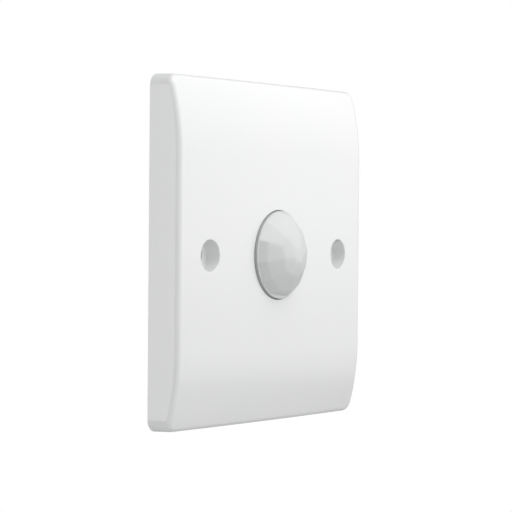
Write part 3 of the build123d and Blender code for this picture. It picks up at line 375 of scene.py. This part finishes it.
def rimRows(spine):
    # rows from the face's edge over the rounded rim, down the drafted side, round the back edge and up the
    # inside, each a closed outline: the rim is an arc tangent to the side and to the face's local slope
    draft, rim, step = plate["draft"], plate["rimRound"], plate["readingStep"]
    back, thick, corner = plate["backRound"], plate["sideWall"], plate["innerRound"]
    rows = []

    def addRow(inset, up):
        # one outline at an inset, this far in front of the wall
        x, z = insetOutline(spine, inset)
        rows.append(np.stack([x, -np.broadcast_to(up, x.shape), z], axis=-1))

    tilt = math.atan(draft)
    near, far = insetOutline(spine, rim), insetOutline(spine, rim + step)
    height = -faceDepthAt(*near)
    slope = np.arctan((-faceDepthAt(*far) - height) / step)
    # the arc's centre lies one radius inside both lines
    a, b = np.array([math.cos(tilt), -math.sin(tilt)]), np.stack([np.sin(slope), -np.cos(slope)], axis=-1)
    reach = rim + b[:, 0] * rim + b[:, 1] * height
    det = a[0] * b[:, 1] - a[1] * b[:, 0]
    centreInset = (rim * b[:, 1] - a[1] * reach) / det
    centreHeight = (a[0] * reach - b[:, 0] * rim) / det
    for share in np.linspace(0, 1, plate["rimRows"]):
        angle = (math.pi / 2 + slope) * (1 - share) + (math.pi - tilt) * share
        addRow(centreInset + rim * np.cos(angle), centreHeight + rim * np.sin(angle))
    rows[0][:, 1] = faceDepthAt(rows[0][:, 0], rows[0][:, 2])
    sideTop = centreHeight + rim * math.sin(math.pi - tilt)
    for share in plate["sideShares"]:
        up = back + (sideTop - back) * share
        addRow(up * draft, up)
    for start, inset in ((math.pi, back), (math.pi * 1.5, thick - back)):
        for angle in np.linspace(start, start + math.pi / 2, plate["backRows"]):
            addRow(inset + back * math.cos(angle), back + back * math.sin(angle))
    innerTop = -faceDepthAt(*insetOutline(spine, thick + corner + step), plate["faceWall"])
    for share in plate["innerShares"]:
        up = back + (innerTop - corner - back) * share
        addRow(thick + up * draft, up)
    for angle in np.radians(plate["innerAngles"]):
        up = innerTop - corner * (1 - math.sin(angle))
        addRow(thick + up * draft + corner * (1 - math.cos(angle)), up)
    return np.stack(rows)


def dividerLine(row, low, high, skin):
    # the line up the face between two parts, from the rim's lower point to its upper one
    share = np.linspace(0, 1, plate["dividerPoints"])[1:-1, None]
    line = row[low] + (row[high] - row[low]) * share
    line[:, 1] = faceDepthAt(line[:, 0], line[:, 2], skin)
    return line


def loopsOf(row, runs, skin):
    # the closed edge of each of the plate's three parts, on the face or inside it
    last = {name: run.stop - 1 for name, run in runs.items()}
    first = {name: run.start for name, run in runs.items()}
    leftUp = dividerLine(row, last["lowLeft"], first["topLeft"], skin)
    rightUp = dividerLine(row, first["lowRight"], last["topRight"], skin)
    left = [row[runs[n]] for n in ("topLeft", "cornerTopLeft", "left", "cornerLowLeft", "lowLeft")] + [leftUp]
    middle = [row[runs["topMiddle"]], leftUp[::-1], row[runs["lowMiddle"]], rightUp]
    right = [row[runs[n]] for n in ("lowRight", "cornerLowRight", "right", "cornerTopRight", "topRight")]
    return np.vstack(left), np.vstack(middle), np.vstack(right + [rightUp[::-1]])


def holeLip(radius):
    # the rounded lip where a hole of this radius leaves the face: a quarter of a circle
    lip = plate["edgeRound"]
    angles = np.linspace(0, math.pi / 2, plate["lipSteps"] + 1)[1:]
    return [(radius + lip * (1 - math.sin(a)), lip * (1 - math.cos(a)), True) for a in angles]


def stripGrid(outer, inner, centreX, face, profile, inside):
    # one part of the plate round one hole: the face from its edge in to the hole, the hole's profile, and the
    # inside back out to its edge, as rows of as many points as the edge has
    away = outer[:, [0, 2]] - [centreX, 0]
    unit = away / np.linalg.norm(away, axis=1, keepdims=True)
    rows = []

    def addRow(spot, depth):
        # one loop of (x, z) spots at a depth
        rows.append(np.stack([spot[:, 0], np.broadcast_to(depth, len(spot)), spot[:, 1]], axis=-1))

    for share in np.linspace(1, 0, plate["faceRows"]) ** plate["faceCrowding"]:
        spot = [centreX, 0] + unit * face + (away - unit * face) * share
        addRow(spot, faceDepthAt(*spot.T))
    rows[0] = outer
    for radius, depth, followsFace in profile:
        spot = [centreX, 0] + unit * radius
        addRow(spot, (faceDepthAt(*spot.T) if followsFace else 0.0) + depth)
    back = inner[:, [0, 2]] - [centreX, 0]
    for share in np.linspace(0, 1, plate["faceRows"] // 2) ** plate["insideCrowding"]:
        spot = [centreX, 0] + unit * inside * (1 - share) + back * share
        addRow(spot, faceDepthAt(*spot.T, plate["faceWall"]))
    rows[-1] = inner
    return np.stack(rows), True


def plateGrids():
    # the rim, and the three parts of the face, each round its hole
    spine = plateSpine()
    rim = rimRows(np.vstack(list(spine.values())))
    starts = np.cumsum([0] + [len(piece) for piece in spine.values()])
    runs = {name: slice(starts[i], starts[i + 1]) for i, name in enumerate(spine)}
    pocketRadius, holeRadius, bossRadius = plate["pocketRadius"], plate["holeRadius"], plate["bossRadius"]
    floor = float(faceDepthAt(plate["holeX"], 0)) + plate["pocketDepth"]
    pocketLine = roundedProfile([
        (pocketRadius, floor - plate["pocketTop"]), (pocketRadius, floor), (holeRadius, floor),
        (holeRadius, 0), (bossRadius, 0), (bossRadius, plate["bossRoot"])], plate["pocketRounds"])
    openingRadius, socketInner = plate["openingRadius"], plate["socketRadius"]
    socketOuter, socketBack = plate["socketOuter"], plate["socketBack"]
    seat = plate["faceWall"] - plate["faceDepth"]
    openingLine = roundedProfile([
        (openingRadius, seat - plate["openingTop"]), (openingRadius, seat), (socketInner, seat),
        (socketInner, socketBack), (socketOuter, socketBack), (socketOuter, seat + plate["socketRoot"])],
        plate["openingRounds"])
    pocket = (pocketRadius, holeLip(pocketRadius) + [(r, d, False) for r, d in pocketLine], bossRadius)
    opening = (openingRadius, holeLip(openingRadius) + [(r, d, False) for r, d in openingLine], socketOuter)
    parts = zip(loopsOf(rim[0], runs, 0.0), loopsOf(rim[-1], runs, plate["faceWall"]),
                (-plate["holeX"], 0.0, plate["holeX"]), (pocket, opening, pocket))
    return [(rim, True)] + [stripGrid(front, back, x, radius + plate["edgeRound"], profile, inside)
                            for front, back, x, (radius, profile, inside) in parts]


plateShell = makePiece("plateShell", plateGrids(), "casing", ["front_plate"], glossyUrea,
                       plate["sharpAngle"])
print("stage: plate shell,", len(plateShell.data.polygons), "faces")


# Ribs, bosses and the casing's frame behind the plate

ribs = {
    "rootDepth": 0.8, "width": 1.2, "back": -2.5, "round": 0.2, "points": 16,
    "section": (1.0, 0.9, 0.6),  # shares of half the width at the root, below the edge's round and on its top
    "walls": (  # of the right half, from (x, z) to (x, z)
        (34.75, 0, 41.5, 0), (9.25, 28.3, 9.25, 42.0), (9.25, -28.3, 9.25, -40.8), (18.5, 33.6, 18.5, 42.0),
        (18.5, -33.6, 18.5, -40.8)),
    "frames": (
        {"half": (24.5, 28.0), "corner": 3.0, "wall": 1.8, "innerCorner": 1.0, "back": -5.2},
        {"half": (22.5, 26.0), "corner": 1.0, "wall": 0.8, "innerCorner": 0.5, "back": -3.4}),
    "frameSteps": 8, "frameBetween": 4, "frameRound": 0.3,
    "earPlaces": [(x, z) for x in (-18.5, 18.5) for z in (-31.0, 31.0)],
    "earBoss": 2.9, "earBack": 0.3, "earPilot": 1.25,
    "postPlaces": [(x, z) for x in (-18.0, 18.0) for z in (-15.0, 15.0)],
    "post": 2.3, "postBack": 0.2, "postPilot": 1.0, "pilotDepth": 6.0, "pilotFloor": 0.4, "pilotRound": 0.15,
    "stakeAngles": (90, 210, 330), "stakeCircle": 16.4, "stake": 1.0, "stakeBack": -2.4, "bossColumns": 40,
}


def rootDepth(x, z):
    # inside the face's wall, so that a rib grows out of it
    return faceDepthAt(x, z, plate["faceWall"]) - ribs["rootDepth"]


def ribRow(x, z, back, drop):
    # one row of a rib: this far in front of its back, or in the face's wall where no drop is given
    depth = rootDepth(x, z) if drop is None else np.full_like(x, back - drop)
    return np.stack([x, depth, z], axis=-1)


def boxLoop(halfX, halfZ, corner):
    # a rounded rectangle's outline, a quarter of a circle at each corner, with points added along its runs
    count, between = ribs["frameSteps"], ribs["frameBetween"]
    angle = np.radians(np.concatenate([np.linspace(a, a + 90, count) for a in (0, 90, 180, 270)]))
    x = np.repeat([1, -1, -1, 1], count) * (halfX - corner) + corner * np.cos(angle)
    z = np.repeat([1, 1, -1, -1], count) * (halfZ - corner) + corner * np.sin(angle)
    share, index = np.arange(0, len(x), 1 / between), np.arange(len(x) + 1)
    return np.interp(share, index, np.append(x, x[0])), np.interp(share, index, np.append(z, z[0]))


def standingFrame(half, corner, wall, innerCorner, back):
    # a wall between two outlines, grown from the plate's inside back to a depth. Its edge is rounded: each
    # outline's rows step in by half a share of the wall as they reach the back
    outer, inner = boxLoop(*half, corner), boxLoop(*[side - wall for side in half], innerCorner)
    edge, middle = ribs["round"], ribs["frameRound"] * ribs["round"]
    line = ((0.0, None), (0.0, edge), (middle, middle), (edge, 0.0))
    rows = []
    for (fromX, fromZ), (toX, toZ), steps in ((outer, inner, line), (inner, outer, line[::-1])):
        for share, drop in steps:
            x, z = fromX + (toX - fromX) * share * 0.5, fromZ + (toZ - fromZ) * share * 0.5
            rows.append(ribRow(x, z, back, drop))
    return np.stack(rows + rows[:1]), True


def wallRib(x0, z0, x1, z1):
    # a straight rib from one place to another, its root following the face's inside: the rows of its middle
    # line, each moved sideways to its place in the section, closed at both ends
    along = np.linspace(0, 1, ribs["points"])
    x, z = x0 + (x1 - x0) * along, z0 + (z1 - z0) * along
    length = math.hypot(x1 - x0, z1 - z0)
    sideX, sideZ = -(z1 - z0) / length, (x1 - x0) / length
    half = ribs["width"] / 2
    section = [(half * share, drop) for share, drop in zip(ribs["section"], (None, ribs["round"], 0.0))]
    section += [(-offset, drop) for offset, drop in section[::-1]]
    rows = [ribRow(x, z, ribs["back"], drop) + [sideX * offset, 0, sideZ * offset]
            for offset, drop in section]
    grid = np.stack(rows + rows[:1])
    middle = grid.mean(axis=0)
    start, end = np.repeat(middle[None, :1], len(grid), 0), np.repeat(middle[None, -1:], len(grid), 0)
    return np.concatenate([start, grid, end], axis=1), False


def boss(radius, back, x, z, pilot=None):
    # a round boss grown from the face's inside, with or without a blind screw hole
    root = float(rootDepth(x, z))
    line, rounds = [(0.0, root), (radius, root), (radius, back)], [0.0, ribs["round"]]
    if pilot:
        floor = max(back - ribs["pilotDepth"], root + ribs["pilotFloor"])
        line += [(pilot, back), (pilot, floor), (0.0, floor)]
        rounds += [ribs["pilotRound"], 0.0]
    else:
        line += [(0.0, back)]
    return turnedGrid(roundedProfile(line, rounds), x, z, ribs["bossColumns"])


ribGrids = [standingFrame(**ring) for ring in ribs["frames"]]
ribGrids += [wallRib(side * x0, z0, side * x1, z1) for side in (-1, 1) for x0, z0, x1, z1 in ribs["walls"]]
ribGrids += [boss(ribs["earBoss"], ribs["earBack"], x, z, ribs["earPilot"]) for x, z in ribs["earPlaces"]]
for x, z in ribs["postPlaces"]:
    # two of the four posts, across a diagonal, take the board's screws
    ribGrids.append(boss(ribs["post"], ribs["postBack"], x, z, ribs["postPilot"] if x * z < 0 else None))
for angle in np.radians(ribs["stakeAngles"]):
    x, z = ribs["stakeCircle"] * math.cos(angle), ribs["stakeCircle"] * math.sin(angle)
    ribGrids.append(boss(ribs["stake"], ribs["stakeBack"], x, z))
plateRibs = makePiece("plateRibs", ribGrids, "casing", ["front_plate"], glossyUrea,
                      plate["sharpAngle"])
print("stage: plate ribs,", len(plateRibs.data.polygons), "faces")


# Lens: a dome of flat facets on a ledge and collar, smooth inside

lens = {
    "centre": -3.36, "crest": 12.55, "turn": 130.0,  # the planes' centre, the top plane and the first bearing
    "rings": ((17.0, 6, 12.55), (34.0, 12, 12.55), (50.5, 12, 12.75)),  # tilt, number of planes, distance
    "lowFacet": (60.0, 265.0, 12.3),  # tilt, bearing, distance
    "edgeSharpness": 13.0, "footSharpness": 40.0,  # in 1/mm, higher is sharper
    "leastTurn": 0.2,  # a plane's least cosine round the foot, so that its reach has an end
    "footRound": 0.12, "footShares": (0.35, 0.7, 1.0), "footSpread": 1.5, "footRise": 0.6,
    # painted shadow on the lens's foot: the colour it is darkened to, and the depths in mm over which it
    # fades in
    "paintedShadowColour": "#cdd1d1", "paintedShadowDepths": (-10.5, -10.3),
    "collarRadius": 11.1, "ledgeWidth": 0.25, "collarFront": -10.52, "collarTop": 0.5,
    "flangeRadius": 12.9, "flangeFront": -7.4, "flangeBack": -6.2, "wall": 0.7,
    "innerCollar": 10.2, "innerTop": 1.0, "rounds": (0.16, 0.1, 0.15, 0.15, 0.15), "roundSteps": 5,
    "columns": 480, "domeRows": 96, "innerRows": 30, "sharpAngle": 60,
}


def softLeast(values, sharpness):
    # a smooth minimum over the first axis: less one over the sharpness, times the log of the summed exponents
    least = values.min(axis=0)
    return least - np.log(np.exp(-(values - least) * sharpness).sum(axis=0)) / sharpness


def lensGrid():
    # rows of closed outlines. A plane of tilt t, bearing b and distance d stands, at radius r and angle a,
    # (d - r sin t cos(a - b)) / cos t in front of the centre, and each dome point is on the lowest one. The
    # foot is where the planes of the last ring and the low one meet the ledge
    angle = np.arange(lens["columns"]) * 2 * math.pi / lens["columns"]
    facets = [(0.0, 0.0, lens["crest"])]
    for tilt, count, distance in lens["rings"]:
        facets += [(tilt, lens["turn"] + 360 * (i + 0.5) / count, distance) for i in range(count)]
    facets.append(lens["lowFacet"])
    tilts, bearings, distances = np.array(facets).T[..., None]
    tilts, bearings = np.radians(tilts), np.radians(bearings)
    front = lens["collarFront"]
    foot = lens["centre"] - front
    lowest = lens["rings"][-1][1] + 1
    turn = np.cos(angle - bearings[-lowest:]).clip(lens["leastTurn"])
    reach = (distances - foot * np.cos(tilts))[-lowest:] / (np.sin(tilts[-lowest:]) * turn)
    reach = np.vstack([reach, np.full((1, len(angle)), lens["collarRadius"] - lens["ledgeWidth"])])
    footRadius = softLeast(reach, lens["footSharpness"])
    rows = []

    def addRow(radius, depth):
        # one outline, at a radius and depth that may differ from point to point
        radius, depth = np.broadcast_to(radius, angle.shape), np.broadcast_to(depth, angle.shape)
        rows.append(np.stack([radius * np.cos(angle), depth, radius * np.sin(angle)], axis=-1))

    for share in np.linspace(0, 1, lens["domeRows"]):
        radius = footRadius * share
        planes = (distances - radius * np.sin(tilts) * np.cos(angle - bearings)) / np.cos(tilts)
        addRow(radius, lens["centre"] - softLeast(planes, lens["edgeSharpness"]))
    for share in lens["footShares"]:
        addRow(footRadius + lens["footRound"] * share ** lens["footSpread"],
               front - lens["footRound"] * lens["footRise"] * (1 - share) ** 2)
    collar, flange, inner = lens["collarRadius"], lens["flangeRadius"], lens["innerCollar"]
    flangeFront, flangeBack = lens["flangeFront"], lens["flangeBack"]
    outer = roundedProfile(
        [(collar - lens["collarTop"], front), (collar, front), (collar, flangeFront), (flange, flangeFront),
         (flange, flangeBack), (inner, flangeBack), (inner, front + lens["innerTop"])],
        lens["rounds"], lens["roundSteps"])
    for radius, depth in outer:
        addRow(radius, depth)
    innerRadius = lens["crest"] - lens["wall"]
    for lean in np.linspace(math.asin(inner / innerRadius), 0, lens["innerRows"]):
        addRow(innerRadius * math.sin(lean), lens["centre"] - innerRadius * math.cos(lean))
    return np.stack(rows), True


# painted shadow: the lens behind its collar's front edge (the collar's side, the flange and the inside near
# them) is darkened in colour where the socket shades it
paintSocketShadow(milkyPolyethylene, lens["paintedShadowColour"], *lens["paintedShadowDepths"])
lensPiece = makePiece("facettedLens", [lensGrid()], "casing", ["fresnel_lens"],
                      milkyPolyethylene, lens["sharpAngle"])
print("stage: lens,", len(lensPiece.data.polygons), "faces")


# Studio: pale floor well below, white surroundings, soft lamps

paleFloor = {
    "level": -300.0, "radius": 1300.0, "columns": 96,
    "shade": "#fbfbfb", "tint": "#f7f7f7", "roughness": 0.9, "clouds": 3.0,  # clouds to a metre
}


def paleFloorPaint():
    # flat emulsion paint: nearly white and matt, with slow clouds of two close shades
    material, tree, shader, place = startMaterial("paleFloorPaint", Roughness=paleFloor["roughness"])
    clouds = addNode(tree, "ShaderNodeTexNoise", {"Vector": place, "Scale": paleFloor["clouds"]})
    colour = addNode(tree, "ShaderNodeMix", {0: clouds.outputs["Fac"], 6: linear(paleFloor["shade"]),
                                             7: linear(paleFloor["tint"])}, data_type="RGBA")
    tree.links.new(colour.outputs[2], shader.inputs["Base Color"])
    return material


def stageFloor():
    # a flat round floor under the part, from its middle to a circle far outside the picture
    angle = np.arange(paleFloor["columns"]) * 2 * math.pi / paleFloor["columns"]
    edge = np.stack([np.cos(angle), np.sin(angle), 0 * angle], axis=-1) * paleFloor["radius"]
    grid = np.stack([0 * edge, edge]) + [0, 0, paleFloor["level"]]
    floor = addMesh("paleFloor", grid.reshape(-1, 3), quadsOf(2, paleFloor["columns"], True))
    floor.data.materials.append(paleFloorPaint())


lamps = {  # at and size in mm, power in watts
    "overhead": {"at": (0, -160, 260), "size": 250, "power": 0.255},
    "highFront": {"at": (0, -350, 450), "size": 350, "power": 0.58},
    "broadRight": {"at": (600, -500, 300), "size": 700, "power": 0.84},
    "leftBand": {"at": (-700, 250, 0), "size": 400, "power": 0.86},
}


def addLamp(name, at, size, power):
    # a square soft lamp aimed at the part
    data = bpy.data.lights.new(name, "AREA")
    data.size, data.energy = size * mm, power
    lamp = bpy.data.objects.new(name, data)
    lamp.location = Vector(at) * mm
    lamp.rotation_mode = "QUATERNION"
    lamp.rotation_quaternion = (-Vector(at)).to_track_quat("-Z", "Y")
    bpy.context.scene.collection.objects.link(lamp)


surroundings = {
    "seen": 1.0, "mirrored": {"above": 1.33, "level": 1.06}, "light": {"above": 0.25, "level": 0.12},
    "raised": (((0, -1, 0), 1.25), ((-1, 0, 0), 0.24)),  # more light from the front and the left
    "darkTowards": (-0.838, -0.545, 0.012), "dimBehind": 0.5,
    "heightStep": (0, 0.6), "raisedStep": (-0.2, 0.9), "darkStep": (0.35, 0.95), "dimStep": (0.5, 0.95),
}


def whiteSurroundings():
    # pure white to the camera. For other rays the strength follows the ray's direction by smooth steps: above
    # is the step of its height, below is that of its depth, and level is what both leave of one. Mirrored is
    # the above and level shares, less a dark patch along one direction and a dim one opposite it. Light is
    # the above and level shares, the latter raised towards the front and the left
    world = bpy.data.worlds.new("whiteSurroundings")
    bpy.context.scene.world = world
    world.use_nodes = True
    tree = world.node_tree
    background = tree.nodes["Background"]
    path = addNode(tree, "ShaderNodeLightPath").outputs
    place = addNode(tree, "ShaderNodeTexCoord").outputs["Generated"]

    def calculate(operation, a, b):
        # one sum, difference, product or maximum
        return addNode(tree, "ShaderNodeMath", {0: a, 1: b}, operation=operation).outputs[0]

    def stepAlong(direction, step):
        # a smooth step of how far the ray goes along a direction
        along = addNode(tree, "ShaderNodeVectorMath", {0: place, 1: direction}, operation="DOT_PRODUCT")
        return addNode(tree, "ShaderNodeMapRange", {"Value": along.outputs["Value"], "From Min": step[0],
                                                    "From Max": step[1]},
                       interpolation_type="SMOOTHSTEP").outputs["Result"]

    def shared(levels):
        # the strengths of above and level by their shares
        return calculate("ADD", calculate("MULTIPLY", above, levels["above"]),
                         calculate("MULTIPLY", level, levels["level"]))

    above, below = (stepAlong((0, 0, way), surroundings["heightStep"]) for way in (1, -1))
    level = calculate("SUBTRACT", calculate("SUBTRACT", 1.0, above), below)
    towards = surroundings["darkTowards"]
    dark = stepAlong(towards, surroundings["darkStep"])
    dim = stepAlong([-part for part in towards], surroundings["dimStep"])
    lit = calculate("SUBTRACT", calculate("SUBTRACT", 1.0, dark),
                    calculate("MULTIPLY", dim, surroundings["dimBehind"]))
    mirrored = calculate("MULTIPLY", lit, shared(surroundings["mirrored"]))
    light = shared(surroundings["light"])
    for direction, amount in surroundings["raised"]:
        raised = calculate("MULTIPLY", stepAlong(direction, surroundings["raisedStep"]), level)
        light = calculate("ADD", light, calculate("MULTIPLY", raised, amount))
    glossy = calculate("MAXIMUM", path["Is Glossy Ray"], path["Is Transmission Ray"])
    unseen = addNode(tree, "ShaderNodeMix", {0: glossy, 2: light, 3: mirrored}).outputs[0]
    strength = addNode(tree, "ShaderNodeMix", {0: path["Is Camera Ray"], 2: unseen, 3: surroundings["seen"]})
    background.inputs["Color"].default_value = (1, 1, 1, 1)
    tree.links.new(strength.outputs[0], background.inputs["Strength"])


stageFloor()
whiteSurroundings()
for name, lamp in lamps.items():
    addLamp(name, **lamp)


# Camera: the photograph's viewpoint, left of the plate and level with it

view = {
    "azimuth": -56.965, "elevation": 0.665, "roll": 0.464, "shift": (0.01873, -0.00813),  # angles in degrees
    "distance": 570.3, "lens": 157.08, "sensor": 36.0, "near": 10, "far": 20000,
}


def addCamera():
    # stands off the plate's middle by the distance, at the azimuth from its front and the elevation above it,
    # looks at the middle, and leans by the roll
    a, e, r = (math.radians(view[k]) for k in ("azimuth", "elevation", "roll"))
    back = Vector((math.sin(a) * math.cos(e), -math.cos(a) * math.cos(e), math.sin(e)))
    right = (-back).cross(Vector((0, 0, 1))).normalized()
    up = right.cross(-back)
    turned = right * math.cos(r) + up * math.sin(r)
    upright = up * math.cos(r) - right * math.sin(r)
    data = bpy.data.cameras.new("camera")
    data.lens, data.sensor_width = view["lens"], view["sensor"]
    data.shift_x, data.shift_y = view["shift"]
    data.clip_start, data.clip_end = view["near"] * mm, view["far"] * mm
    camera = bpy.data.objects.new("camera", data)
    place = (back * view["distance"] + Vector((0, 0, plate["rise"]))) * mm
    turn = Matrix((turned, upright, back)).transposed()
    camera.matrix_world = Matrix.Translation(place) @ turn.to_4x4()
    bpy.context.scene.collection.objects.link(camera)
    bpy.context.scene.camera = camera


addCamera()
bpy.context.scene.view_settings.view_transform = "Standard"
print("stage: studio and camera")
